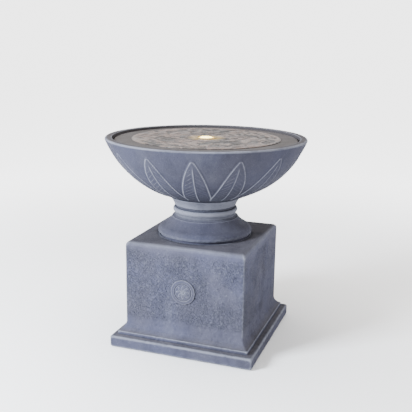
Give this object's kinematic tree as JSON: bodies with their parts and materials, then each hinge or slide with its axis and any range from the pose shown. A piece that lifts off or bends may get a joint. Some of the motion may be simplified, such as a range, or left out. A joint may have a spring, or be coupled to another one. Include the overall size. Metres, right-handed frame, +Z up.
{
  "type": "bowl fountain with submersible pump",
  "caption": "Square plinth, turned foot and wide bowl whose lid hides a magnet-drive submersible pump that feeds a central nozzle in a ring light.",
  "frame": {"origin": "on the ground below the bowl's axis, at the plinth's middle", "axes": "+Z up the bowl's axis; -Y out of the plinth's decorated face; +X to its right"},
  "size_m": [0.5599, 0.56, 0.578],
  "materials": {
    "plinth_stone": "matt cast stone, hammered faces, worn edges",
    "foot_stone": "matt cast stone, smooth turned mouldings",
    "bowl_stone": "matt cast stone with leaf relief",
    "lid_stone": "wet cast stone",
    "black_rubber": "matt",
    "grey_rubber": "matt",
    "connector_plastic": "moulded, fine grain",
    "pump_plastic": "moulded, fine spark-eroded grain",
    "strainer_plastic": "moulded, slotted",
    "dial_plastic": "moulded blue",
    "laminated_steel": "stacked laminations",
    "bobbin_nylon": "natural nylon",
    "copper_wire": "enamelled copper",
    "potting_resin": "cast resin",
    "white_ceramic": "ground alumina",
    "ferrite": "sintered ferrite",
    "impeller_plastic": "moulded acetal",
    "stainless": "satin",
    "sponge": "open-cell foam",
    "clear_tube": "translucent vinyl",
    "nozzle_brass": "turned",
    "light_housing": "satin moulded",
    "board_green": "solder mask",
    "emitter_yellow": "phosphor",
    "clear_lens": "frosted clear"
  },
  "bodies": {
    "base": {"plinth": "plinth_stone", "foot_pads": "black_rubber", "rear_grommet": "black_rubber", "seat_pads": "grey_rubber", "foot": "foot_stone"},
    "bowl_unit": {"bowl": "bowl_stone", "lid_pads": "grey_rubber", "connector_body": "connector_plastic", "connector_seal": "black_rubber", "connector_washer": "connector_plastic", "connector_nut": "connector_plastic", "cable_bung": "black_rubber", "motor_housing": "pump_plastic", "stator_core": "laminated_steel", "coil_bobbins": "bobbin_nylon", "coil_windings": "copper_wire", "potting": "potting_resin", "rear_bush": "white_ceramic", "front_bush": "white_ceramic", "rotor_shaft": "white_ceramic", "volute_cover": "pump_plastic", "volute_seal": "black_rubber", "cover_screws": "stainless", "suction_cups": "black_rubber", "cable_gland": "connector_plastic", "riser_tube": "clear_tube", "riser_clips": "stainless", "nozzle": "nozzle_brass", "led_housing": "light_housing", "led_board": "board_green", "led_lens": "clear_lens", "led_emitters": "emitter_yellow", "led_gland": "connector_plastic"},
    "lid_unit": {"lid": "lid_stone", "lid_grommet": "grey_rubber"},
    "rotor": {"rotor_magnet": "ferrite", "impeller": "impeller_plastic"},
    "strainer_unit": {"strainer": "strainer_plastic", "prefilter": "sponge"},
    "dial": {"flow_dial": "dial_plastic"}
  },
  "joints": [
    {"name": "bowl_lift", "type": "slide", "parent": "base", "child": "bowl_unit", "axis": [0, 0, 1], "range_m": [0, 0.06]},
    {"name": "lid_lift", "type": "slide", "parent": "bowl_unit", "child": "lid_unit", "axis": [0, 0, 1], "range_m": [0, 0.12]},
    {"name": "rotor_spin", "type": "hinge", "parent": "bowl_unit", "child": "rotor", "pos_m": [0, 0, 0.459], "axis": [1, 0, 0], "continuous": true},
    {"name": "strainer_pull", "type": "slide", "parent": "bowl_unit", "child": "strainer_unit", "axis": [-1, 0, 0], "range_m": [0, 0.03]},
    {"name": "flow_dial_turn", "type": "hinge", "parent": "strainer_unit", "child": "dial", "pos_m": [-0.0475, 0, 0.459], "axis": [1, 0, 0], "range_deg": [0, 45]}
  ]
}
